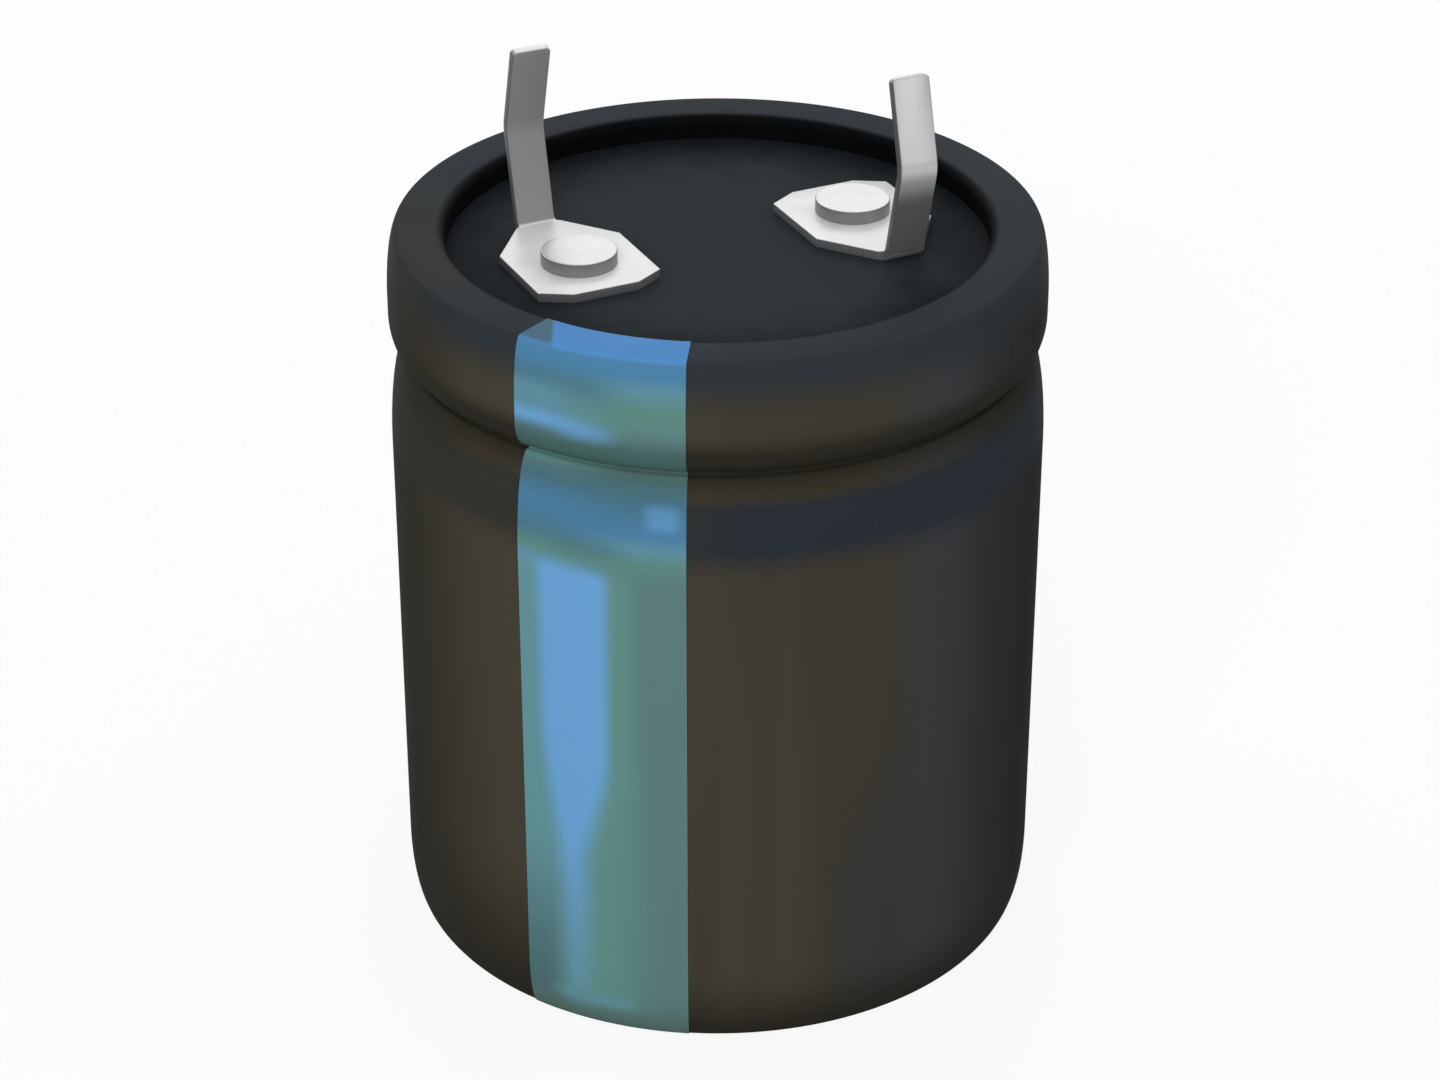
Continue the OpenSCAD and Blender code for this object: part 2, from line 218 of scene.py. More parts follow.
def buildWorld():
    world = bpy.data.worlds.new("whiteStudio")
    world.use_nodes = True
    tree = world.node_tree
    tree.nodes.clear()
    around = addNode(tree, "ShaderNodeTexCoord").outputs["Generated"]
    parts = addNode(tree, "ShaderNodeSeparateXYZ", {0: around}).outputs
    back, up = parts[1], parts[2]
    backdrop = times(tree, ranged(tree, back, *studio["backdropDepth"]),
                     ranged(tree, up, *studio["backdropHeight"]))
    inFront = times(tree, ranged(tree, back, *studio["frontDepth"], 1.0, 0.0),
                    ranged(tree, up, *studio["frontHeight"]))
    backdrop = calc(tree, "ADD", backdrop, times(tree, inFront, studio["frontSky"]))
    share, level = whiteShare(tree, backdrop)
    seen = addNode(tree, "ShaderNodeBackground", {"Color": (1, 1, 1, 1), "Strength": level})
    fill = addNode(tree, "ShaderNodeBackground", {"Color": (1, 1, 1, 1), "Strength": studio["fillLevel"]})
    mixed = addNode(tree, "ShaderNodeMixShader", {0: share, 1: fill.outputs[0], 2: seen.outputs[0]})
    addNode(tree, "ShaderNodeOutputWorld", {"Surface": mixed.outputs[0]})
    scene.world = world


def buildFloor():
    mesh = bpy.data.meshes.new("paleFloor")
    work = bmesh.new()
    bmesh.ops.create_circle(work, cap_ends=True, segments=studio["floorSides"],
                            radius=studio["floorRadius"] * mm)
    work.to_mesh(mesh)
    work.free()
    floor = bpy.data.objects.new("paleFloor", mesh)
    floor.location.z = -studio["floorDrop"] * mm
    scene.collection.objects.link(floor)
    finish = bpy.data.materials.new("palePaper")
    finish.use_nodes = True
    tree = finish.node_tree
    tree.nodes.clear()
    near, far = studio["floorBright"]
    share, level = whiteShare(tree, ranged(tree, placeParts(tree)[1], near * mm, far * mm))
    fade = ranged(tree, distanceOut(tree), *studio["floorFade"], *studio["floorGlow"])
    fromMatte = addNode(tree, "ShaderNodeLightPath").outputs["Is Diffuse Ray"]
    paper = blend(tree, fromMatte, (*studio["floorColour"], 1), (*studio["floorBounce"], 1))
    matte = addNode(tree, "ShaderNodeBsdfDiffuse", {"Color": paper})
    glow = addNode(tree, "ShaderNodeEmission", {"Color": (1, 1, 1, 1), "Strength": level})
    mixed = addNode(tree, "ShaderNodeMixShader", {
        0: times(tree, share, fade), 1: matte.outputs[0], 2: glow.outputs[0]})
    addNode(tree, "ShaderNodeOutputMaterial", {"Surface": mixed.outputs[0]})
    mesh.materials.append(finish)


scene.view_settings.view_transform = "Standard"
placeCamera()
for lampName, values in lamps.items():
    placeLamp(lampName, *values)
buildWorld()
buildFloor()
print("studio ready:", len(lamps), "lamps, floor and white world")


# finishes, all procedural on object coordinates

def photoColour(red, green, blue):
    # a display colour, 0 to 255, as the linear value that a shader takes
    def linear(value):
        value = value / 255
        return value / 12.92 if value <= 0.04045 else ((value + 0.055) / 1.055) ** 2.4
    return (linear(red), linear(green), linear(blue), 1)


def newFinish(name, roughness, metallic=0.0, specular=0.5):
    material = bpy.data.materials.new(name)
    material.use_nodes = True
    tree = material.node_tree
    shader = tree.nodes["Principled BSDF"]
    shader.inputs["Roughness"].default_value = roughness
    shader.inputs["Metallic"].default_value = metallic
    shader.inputs["Specular IOR Level"].default_value = specular
    return material, tree, shader


def paint(tree, shader, colour):
    tree.links.new(colour, shader.inputs["Base Color"])


def roughen(tree, shader, pattern, roughness, less=0.05, more=0.07):
    # a little smoother or rougher, as the pattern goes
    made = ranged(tree, pattern, 0.3, 0.7, roughness - less, roughness + more)
    tree.links.new(made, shader.inputs["Roughness"])


def stretched(tree, scale, turn=(0, 0, 0)):
    made = addNode(tree, "ShaderNodeMapping", {
        "Vector": objectPlace(tree), "Scale": scale, "Rotation": turn})
    return made.outputs[0]


def noise(tree, place, scale, detail=3.0, roughness=0.5):
    made = addNode(tree, "ShaderNodeTexNoise", {
        "Vector": place, "Scale": scale, "Detail": detail, "Roughness": roughness})
    return made.outputs[0]


def bump(tree, shader, height, strength, distance):
    made = addNode(tree, "ShaderNodeBump", {
        "Height": height, "Strength": strength, "Distance": distance * mm})
    tree.links.new(made.outputs[0], shader.inputs["Normal"])


def grained(tree, shader, place, scale, strength, depth, detail=2, roughness=0.5):
    # a fine relief that shows close up
    bump(tree, shader, noise(tree, place, scale, detail, roughness), strength, depth)


def heightRamp(tree, height, stops):
    # colours by height in millimetres
    tall = 26
    made = addNode(tree, "ShaderNodeValToRGB", {"Fac": calc(tree, "DIVIDE", height, tall)})
    marks = made.color_ramp.elements
    while len(marks) < len(stops):
        marks.new(0.5)
    for mark, (place, colour) in zip(marks, stops):
        mark.position = place / tall
        mark.color = colour
    return made.outputs["Color"]


def bandShare(tree, height, *edges):
    # rises from 0 to 1 between two heights, and falls back between the next two, if they are given
    stops = [(edge, (share, share, share, 1)) for edge, share in zip(edges, (0, 1, 1, 0))]
    return heightRamp(tree, height, stops)


def within(tree, value, low, high, soft):
    rising = ranged(tree, value, low - soft, low + soft)
    return times(tree, rising, ranged(tree, value, high - soft, high + soft, 1.0, 0.0))


filmFinish = {
    # partly the film's own dark tone, partly painted reflection and shade: brown and umber where it faces the
    # front and left, slate on the right, olive and greys where it faces up, and the shade colours as painted
    # shade
    "brown": photoColour(70, 65, 54),
    "umber": photoColour(64, 59, 47),
    "slate": photoColour(58, 60, 63),
    "shadeSlate": photoColour(43, 44, 45),
    "olive": photoColour(49, 51, 46),
    "shadeBrown": photoColour(44, 42, 34),
    "topGrey": photoColour(45, 51, 56),
    "shoulderGrey": photoColour(41, 47, 54),
    "groove": photoColour(40, 38, 32),
    "heel": photoColour(44, 41, 36),
    "recessShade": photoColour(8, 9, 10),
    "rightEdgeShade": photoColour(33, 34, 35),
    "roughness": 0.6,
    "specular": 0.08,
    "streaks": (260, 0.05),      # size of the upright streaks, and how much they are drawn out
    "wideStreaks": (91, 0.12),
    "umberFrom": (0.38, 0.62),   # share of the fine streaks
    "wander": 0.6,               # how far the wide streaks shift the change to slate
    # directions round the can, in degrees from the front, and heights in millimetres
    "slateFrom": (6, 12, 12, 23),    # the painted reflection turns from brown to slate: two heights, and the directions there
    "slateOver": 22,                 # and over this many degrees
    # painted shade: towards the right, at the right edge and at the left edge, by direction
    "deepFrom": (38, 64),
    "shadeFrom": (60, 72),
    "leftEdgeShade": (-70, -42),
    "shoulder": (18.0, 19.0, 20.5, 20.9),
    "greyFrom": (-12, 6),            # the shoulder's painted reflection turns from olive to grey
    "rim": (23.7, 25.1),
    # painted shade in the groove under the rim: heights, and how much
    "grooveBand": (20.3, 21.3, 22.5, 23.1),
    "grooveShare": 0.85,
    "upperLeft": (18.0, 19.5, 0.0, 0.5),    # painted shade on the upper left: heights, and the share of shade brown there
    "heelFrom": (-34, -8),
    "heelTop": (6.5, 2.8),           # how far up the painted shade at the foot reaches, left and right of those directions
    "recessEdge": (9.25, 9.5),       # painted shade over the curl's inner edge: distances from the axis
    "recessHeight": (20, 21),
    "grain": (9000, 0.1, 0.004),     # size, strength and depth
}


def filmMaterial():
    values = filmFinish
    material, tree, shader = newFinish("shrunkFilm", values["roughness"], specular=values["specular"])
    turn, height = directionRound(tree), heightUp(tree)
    # upright streaks: noise squeezed along the can
    scale, squeeze = values["streaks"]
    streaks = noise(tree, stretched(tree, (1, 1, squeeze)), scale, detail=3)
    scale, squeeze = values["wideStreaks"]
    wide = noise(tree, stretched(tree, (1, 1, squeeze)), scale, detail=2)
    # painted reflection: brown in front turns to slate towards the right
    slateFrom = ranged(tree, height, *values["slateFrom"])
    cool = roundShare(tree, turn, slateFrom, calc(tree, "ADD", slateFrom, values["slateOver"]))
    cool = calc(tree, "ADD", cool, swing(tree, wide, values["wander"]), clamp=True)
    warm = blend(tree, ranged(tree, streaks, *values["umberFrom"]), values["brown"], values["umber"])
    # painted shade: darker towards the left edge and towards the right, darkest at the right edge
    leftEdgeShade = calc(tree, "SUBTRACT", 1.0, roundShare(tree, turn, *values["leftEdgeShade"], behind=1.0))
    warm = blend(tree, leftEdgeShade, warm, values["shadeBrown"])
    deep = roundShare(tree, turn, *values["deepFrom"], behind=0.0)
    deep = calc(tree, "ADD", deep, swing(tree, streaks), clamp=True)
    cold = blend(tree, deep, values["slate"], values["shadeSlate"])
    rightEdgeShade = roundShare(tree, turn, *values["shadeFrom"], behind=0.0)
    cold = blend(tree, rightEdgeShade, cold, values["rightEdgeShade"])
    colour = blend(tree, cool, warm, cold)
    # painted reflection: cooler where the film faces up, on the shoulder and the rim; painted shade in the
    # groove and at the foot
    grey = roundShare(tree, turn, *values["greyFrom"])
    onShoulder = blend(tree, grey, values["olive"], values["shoulderGrey"])
    colour = blend(tree, bandShare(tree, height, *values["shoulder"]), colour, onShoulder)
    colour = blend(tree, bandShare(tree, height, *values["rim"]), colour, values["topGrey"])
    # painted shade in the groove
    groove = times(tree, bandShare(tree, height, *values["grooveBand"]), values["grooveShare"])
    colour = blend(tree, groove, colour, values["groove"])
    # painted shade on the upper left
    onUpperLeft = times(tree, leftEdgeShade, ranged(tree, height, *values["upperLeft"]))
    colour = blend(tree, onUpperLeft, colour, values["shadeBrown"])
    # painted shade at the foot
    heelTop = roundShare(tree, turn, *values["heelFrom"])
    heelTop = ranged(tree, heelTop, 0.0, 1.0, *values["heelTop"], smooth=False)
    heel = ranged(tree, calc(tree, "DIVIDE", height, heelTop), 0.0, 1.0, 1.0, 0.0)
    colour = blend(tree, heel, colour, values["heel"])
    # painted shade: the curl's inner edge over the deck is coloured near black, as it lies in the dark
    inside = ranged(tree, distanceOut(tree), *values["recessEdge"], 1.0, 0.0)
    inside = times(tree, inside, ranged(tree, height, *values["recessHeight"]))
    paint(tree, shader, blend(tree, inside, colour, values["recessShade"]))
    roughen(tree, shader, wide, values["roughness"])
    grained(tree, shader, objectPlace(tree), *values["grain"])
    return material


printFinish = {
    # the print's own colour is a blue-teal; the bright blues and pale colours paint its highlights and
    # reflections, the shade colours paint its shade
    "blue": photoColour(106, 164, 216),
    "topBlue": photoColour(81, 140, 200),
    "deepBlue": photoColour(74, 126, 164),
    "shadeBlue": photoColour(76, 120, 140),
    "seaBlue": photoColour(94, 142, 160),
    "teal": photoColour(92, 126, 126),
    "green": photoColour(92, 137, 130),
    "paleGreen": photoColour(97, 144, 137),
    "deepTeal": photoColour(80, 114, 120),
    "shadeTeal": photoColour(70, 109, 122),
    "cornerGrey": photoColour(76, 110, 129),
    "grooveShadeTeal": photoColour(72, 104, 101),
    "paleTeal": photoColour(98, 148, 156),
    "footTeal": photoColour(88, 116, 112),
    "roughness": 0.56,
    "specular": 0.08,
    "streaks": (420, 0.06),
    "waver": 1.6,                               # how far the colours' edges waver, in degrees
    # the painted highlight streak's sides: two heights, and the directions there
    "streakLeft": (4.0, 12.5, -26.6, -31.2),
    "streakRight": (6.0, 11.0, -23.6, -18.9),
    "streakSoft": (5.0, 12.0, 3.5, 1.7),        # how soft they are there
    "streakShare": (1.4, 6.0, 0.45, 1.0),       # the streak fades towards the foot
    "greenFrom": (-4.5, -0.5),                  # the right flank, counted in soft edges from the streak
    "leftFlank": (-32.0, -24.0),
    "leftPaler": (1.5, 8.0),                    # heights
    # painted shade at the foot: heights
    "footShade": (0.2, 1.6),
    "leftSide": (-31, -14),                     # the painted bands are bluer on the left
    "bandsFrom": (17.5, 18.3),
    # painted reflection and shade in bands over the shoulder, the groove and the rim, by height; the groove's
    # dark teal and the shade colours are painted shade
    "leftBands": (
        (17.4, "blue"), (18.5, "green"), (19.1, "shadeBlue"), (20.1, "deepBlue"), (20.9, "shadeTeal"),
        (21.3, "deepTeal"), (21.5, "paleGreen"), (21.65, "grooveShadeTeal"), (22.4, "grooveShadeTeal"),
        (22.7, "deepTeal"), (23.1, "blue"), (23.6, "seaBlue"), (24.1, "seaBlue"), (24.6, "shadeBlue"),
        (25.1, "deepBlue"), (25.5, "deepBlue"), (25.59, "topBlue"),
    ),
    "rightBands": (
        (17.4, "teal"), (18.5, "green"), (19.0, "seaBlue"), (19.5, "deepBlue"), (20.9, "shadeTeal"),
        (21.35, "grooveShadeTeal"), (21.5, "footTeal"), (21.65, "grooveShadeTeal"), (22.5, "grooveShadeTeal"),
        (23.0, "teal"), (23.4, "green"), (24.0, "green"), (24.6, "seaBlue"), (25.1, "deepBlue"),
        (25.5, "deepBlue"), (25.59, "topBlue"),
    ),
    # spots: directions from, to and soft by, then heights from, to and soft by
    "footHighlight": (-29, -15, 3.0, 0.9, 1.4, 0.25),
    # in the bands also their share and colour: the blue spots are painted highlights, the shadeTeal spots
    # painted shade
    "spots": (
        (-11.9, -6.6, 1.5, 19.7, 20.5, 0.25, 0.5, "blue"),
        (-26.0, -18.0, 3.5, 22.65, 23.15, 0.25, 0.5, "blue"),
        (-26.0, -17.0, 5.0, 24.1, 24.8, 0.5, 0.55, "shadeTeal"),
        (-27.0, -16.5, 4.0, 18.5, 19.1, 0.35, 0.45, "shadeTeal"),
    ),
    # the grey corner on the rim: how far across, how high and how far out it goes
    "cornerAcross": (-5.29, -5.12),
    "cornerHeight": (25.45, 25.55),
    "cornerOut": (10.7, 11.0),
    "grain": (9000, 0.1, 0.004),
}


def spotShare(tree, turn, height, first, last, softTurn, low, high, softHeight):
    return times(tree, within(tree, turn, first, last, softTurn), within(tree, height, low, high, softHeight))


def printMaterial():
    values = printFinish
    material, tree, shader = newFinish("stripePrint", values["roughness"], specular=values["specular"])
    turn, height = directionRound(tree), heightUp(tree)
    scale, squeeze = values["streaks"]
    fine = noise(tree, stretched(tree, (1, 1, squeeze)), scale, detail=2)
    turn = calc(tree, "ADD", turn, swing(tree, fine, values["waver"]))
    # painted highlight: a bright streak that narrows towards the foot, with greener flanks
    soft = ranged(tree, height, *values["streakSoft"])
    left = ranged(tree, height, *values["streakLeft"])
    right = ranged(tree, height, *values["streakRight"])
    past = calc(tree, "DIVIDE", calc(tree, "SUBTRACT", turn, left), soft)
    short = calc(tree, "DIVIDE", calc(tree, "SUBTRACT", right, turn), soft)
    streak = times(tree, ranged(tree, past, -1, 1), ranged(tree, short, -1, 1))
    streak = times(tree, streak, ranged(tree, height, *values["streakShare"]))
    flank = blend(tree, ranged(tree, short, *values["greenFrom"]), values["teal"], values["paleGreen"])
    paler = ranged(tree, height, *values["leftPaler"])
    leftFlank = blend(tree, paler, values["deepTeal"], values["paleTeal"])
    flank = blend(tree, ranged(tree, turn, *values["leftFlank"], 1.0, 0.0), flank, leftFlank)
    body = blend(tree, streak, flank, values["blue"])
    # painted highlight in the middle of the heel's turn, and painted shade below it
    body = blend(tree, ranged(tree, height, *values["footShade"], 1.0, 0.0), body, values["footTeal"])
    body = blend(tree, spotShare(tree, turn, height, *values["footHighlight"]), body, values["paleTeal"])
    # painted reflection and shade in bands over the shoulder, the groove and the rim
    onLeft, onRight = [heightRamp(tree, height, [(place, values[name]) for place, name in values[side]])
                       for side in ("leftBands", "rightBands")]
    upper = blend(tree, ranged(tree, turn, *values["leftSide"]), onLeft, onRight)
    # painted highlights and painted shade in spots
    for *edges, share, name in values["spots"]:
        spot = times(tree, spotShare(tree, turn, height, *edges), share)
        upper = blend(tree, spot, upper, values[name])
    across = calc(tree, "DIVIDE", placeParts(tree)[0], mm)
    corner = ranged(tree, across, *values["cornerAcross"], 1.0, 0.0)
    corner = times(tree, corner, ranged(tree, height, *values["cornerHeight"]))
    corner = times(tree, corner, ranged(tree, distanceOut(tree), *values["cornerOut"], 1.0, 0.0))
    upper = blend(tree, corner, upper, values["cornerGrey"])
    paint(tree, shader, blend(tree, ranged(tree, height, *values["bandsFrom"]), body, upper))
    roughen(tree, shader, fine, values["roughness"], more=0.05)
    grained(tree, shader, objectPlace(tree), *values["grain"])
    return material


rubberFinish = {
    "middle": photoColour(45, 51, 54),
    # painted shade: the deck's colour near its rim
    "edge": photoColour(29, 33, 37),
    "shadeFrom": (5.5, 9.2),          # painted shade towards the rim: distance from the axis, in millimetres
    "roughness": 0.7,
    "specular": 0.05,
    "mottle": (700, 3.0),            # size, and how far it shifts where the painted shade begins
    "pebble": (5200, 0.25, 0.02),    # size, strength and depth
}


def rubberMaterial():
    values = rubberFinish
    material, tree, shader = newFinish("deckRubber", values["roughness"], specular=values["specular"])
    scale, shift = values["mottle"]
    mottle = noise(tree, objectPlace(tree), scale, detail=4)
    # painted shade: darker towards the deck's rim
    reach = calc(tree, "ADD", distanceOut(tree), swing(tree, mottle, shift))
    reach = ranged(tree, reach, *values["shadeFrom"])
    paint(tree, shader, blend(tree, reach, values["middle"], values["edge"]))
    grained(tree, shader, objectPlace(tree), *values["pebble"], detail=3, roughness=0.6)
    return material


sheetFinish = {
    "bright": photoColour(239, 240, 240),
    "brighter": photoColour(245, 245, 244),
    "innerShade": photoColour(144, 144, 145),    # painted shade on the blades' inner face
    "edge": photoColour(96, 98, 100),      # painted shade on the sheared edges, the faces that look sideways
    "cloud": 500,
    "bladeFrom": (0.25, 0.75),             # share of facing where the plate's look turns into a blade's
    "metallic": (0.2, 0.92, 0.3),          # plate, blade's outer face, blade's inner face
    "underKink": (26.9, 28.3, 0.25),       # less metallic outside: heights from and to, and soft by
    "kinkShare": 0.34,                     # by this much
    "roughness": (0.34, 0.55),             # outside and on the inner face
    "rolled": (5200, 0.05, 0.003),
    "rolledAlong": (1, 0.08, 0.08),
    "rolledTurn": 64,
}


def pieceMark(tree, name):
    return addNode(tree, "ShaderNodeAttribute", attribute_name=name).outputs["Fac"]


def sheetMaterial():
    values = sheetFinish
    material, tree, shader = newFinish("tinnedSheet", values["roughness"][0])
    facing, edge, height = pieceMark(tree, "facing"), pieceMark(tree, "edge"), heightUp(tree)
    low, high = values["bladeFrom"]
    innerShade, outer = ranged(tree, facing, low, high), ranged(tree, facing, -high, -low, 1.0, 0.0)
    cloud = noise(tree, objectPlace(tree), values["cloud"], detail=2)
    colour = blend(tree, ranged(tree, cloud, 0.3, 0.7), values["bright"], values["brighter"])
    # painted shade: darker on the blades' inner face, which also has its own metal and roughness
    colour = blend(tree, innerShade, colour, values["innerShade"])
    # painted shade: darker on the sheared edges
    paint(tree, shader, blend(tree, edge, colour, values["edge"]))
    plate, onOuter, onDull = values["metallic"]
    metallic = ranged(tree, outer, 0.0, 1.0, plate, onOuter, smooth=False)
    metallic = calc(tree, "ADD", metallic, times(tree, innerShade, onDull - plate))
    low, kink, soft = values["underKink"]
    under = times(tree, ranged(tree, height, low, kink), ranged(tree, height, kink, kink + soft, 1.0, 0.0))
    under = times(tree, times(tree, under, values["kinkShare"]), outer)
    tree.links.new(calc(tree, "SUBTRACT", metallic, under), shader.inputs["Metallic"])
    roughness = ranged(tree, innerShade, 0.0, 1.0, *values["roughness"], smooth=False)
    tree.links.new(roughness, shader.inputs["Roughness"])
    along = stretched(tree, values["rolledAlong"], (0, 0, math.radians(values["rolledTurn"])))
    grained(tree, shader, along, *values["rolled"])
    return material


rivetFinish = {
    "bright": photoColour(243, 243, 242),
    "brighter": photoColour(248, 248, 248),
    # painted shade: the colour of the head's side
    "side": photoColour(160, 160, 160),
    "cloud": 900,
    "metallic": 0.85,
    "roughness": (0.36, 0.5),    # top and side
    "grain": (4200, 0.06, 0.003),
}


def rivetMaterial():
    values = rivetFinish
    onTop, onSide = values["roughness"]
    material, tree, shader = newFinish("rivetAluminium", onTop, metallic=values["metallic"])
    edge = pieceMark(tree, "edge")
    cloud = noise(tree, objectPlace(tree), values["cloud"], detail=2)
    colour = blend(tree, ranged(tree, cloud, 0.3, 0.7), values["bright"], values["brighter"])
    # painted shade: darker on the head's side
    paint(tree, shader, blend(tree, edge, colour, values["side"]))
    tree.links.new(ranged(tree, edge, 0.0, 1.0, onTop, onSide), shader.inputs["Roughness"])
    grained(tree, shader, objectPlace(tree), *values["grain"])
    return material


# hidden pieces, by finish: nodes, two colours, roughness, metal, size of the pattern, its stretch and depth
innerFinishes = {
    "drawnAluminium": (["can"], (196, 198, 201), (212, 214, 216), 0.38, 1.0, 900, (1, 1, 0.06), 0.005),
    "discFilm": (["end_disc"], (50, 50, 50), (60, 60, 59), 0.7, 0.0, 1200, (1, 1, 1), 0.01),
    "resinBoard": (["terminal_board"], (120, 82, 52), (136, 96, 62), 0.6, 0.0, 700, (1, 0.3, 1), 0.02),
    "washerAluminium": (["washer_negative", "washer_positive"],
                        (190, 192, 194), (206, 208, 210), 0.35, 1.0, 1800, (1, 1, 1), 0.004),
    "tabFoil": (["tab_negative", "tab_positive"],
                (202, 204, 208), (216, 218, 221), 0.5, 1.0, 2400, (1, 1, 0.1), 0.006),
    "soakedPaper": (["winding"], (190, 176, 146), (206, 193, 165), 0.75, 0.0, 1600, (1, 1, 0.15), 0.02),
    "tapeFilm": (["closing_tape"], (206, 168, 84), (220, 184, 100), 0.3, 0.0, 800, (1, 1, 0.2), 0.005),
}


def innerMaterial(name, dark, light, roughness, metallic, scale, stretch, depth):
    material, tree, shader = newFinish(name, roughness, metallic)
    pattern = noise(tree, stretched(tree, stretch), scale, detail=3)
    share = ranged(tree, pattern, 0.35, 0.65)
    paint(tree, shader, blend(tree, share, photoColour(*dark), photoColour(*light)))
    roughen(tree, shader, pattern, roughness)
    bump(tree, shader, pattern, 0.3, depth)
    return material


film, stripePrint = filmMaterial(), printMaterial()
rubber, sheet, rivetMetal = rubberMaterial(), sheetMaterial(), rivetMaterial()
print("finishes made for film, print, rubber, sheet and rivets")


# outlines, in millimetres: radius and height, worked out as the can is rolled

sleeve = {
    "heelIn": 0.22, "heelUp": 1.76,
    "shoulderUp": 3.31, "beadDepth": 0.77, "beadRadius": 0.32, "canWall": 0.4, "seatAngle": 45,
    "rimIn": 0.04, "rimUnder": 0.78, "crownIn": 0.17, "crownUp": 2.14,
    "curlWidth": 1.6, "curlFold": 0.12, "footLip": 2.3, "discIn": 0.28,
    "turnSteps": 240, "rippleDepth": 0.012, "rippleScale": 170, "rippleSeed": 4,
    "rows": {"heel": 14, "body": 24, "shoulder": 24, "bead": 12, "underRim": 14, "crown": 24, "curl": 8},
}
leastRows = 4    # a coarse outline keeps at least this many rows in each part


def arc(centre, radii, start, end, steps):
    points = []
    for step in range(steps + 1):
        angle = math.radians(start + (end - start) * step / steps)
        points.append((centre[0] + radii[0] * math.cos(angle), centre[1] + radii[1] * math.sin(angle)))
    return points


def filmOutline(out, low, fine=1.0):
    # from the heel over the bead and the rim to the curl's inner edge, out from the bare can
    s = sleeve
    rows = {part: max(leastRows, round(count * fine)) for part, count in s["rows"].items()}
    heelRadius = canRadius - s["heelIn"]
    heelTop = canFoot + s["heelUp"]
    beadHeight = boardHeight - (s["beadRadius"] + s["canWall"]) * math.sin(math.radians(s["seatAngle"]))
    beadAt = canRadius - s["beadDepth"] + s["beadRadius"]
    shoulder = beadHeight - s["beadRadius"] - s["shoulderUp"]
    rimLow = beadHeight + s["beadRadius"] + s["rimUnder"]
    rimRadius = canRadius - s["rimIn"]
    crownLow = max(canTop - s["crownUp"], rimLow)
    crownAt = rimRadius - s["crownIn"]
    foldAt, foldHigh = rimRadius - s["curlWidth"] + s["curlFold"], canTop - s["curlFold"]
    points = arc((heelRadius, heelTop), (s["heelIn"] + out, heelTop - low), -90, 0, rows["heel"])
    for row in range(1, rows["body"]):
        points.append((canRadius + out, heelTop + (shoulder - heelTop) * row / rows["body"]))
    shoulderRound = (canRadius + out - beadAt, s["shoulderUp"] + out)
    points += arc((beadAt, shoulder), shoulderRound, 0, 90, rows["shoulder"])
    points += arc((beadAt, beadHeight), (s["beadRadius"] - out,) * 2, 270, 90, rows["bead"])
    rimRound = (rimRadius + out - beadAt, s["rimUnder"] + out)
    points += arc((beadAt, rimLow), rimRound, -90, 0, rows["underRim"])
    crownRound = (s["crownIn"] + out, canTop - crownLow + out)
    points += arc((crownAt, crownLow), crownRound, 0, 90, rows["crown"])
    points += arc((foldAt, foldHigh), (s["curlFold"] + out,) * 2, 90, 180, rows["curl"])
    return points


gridWeld, meshWeld = 0.001, 0.0005    # points nearer than this, in millimetres, become one


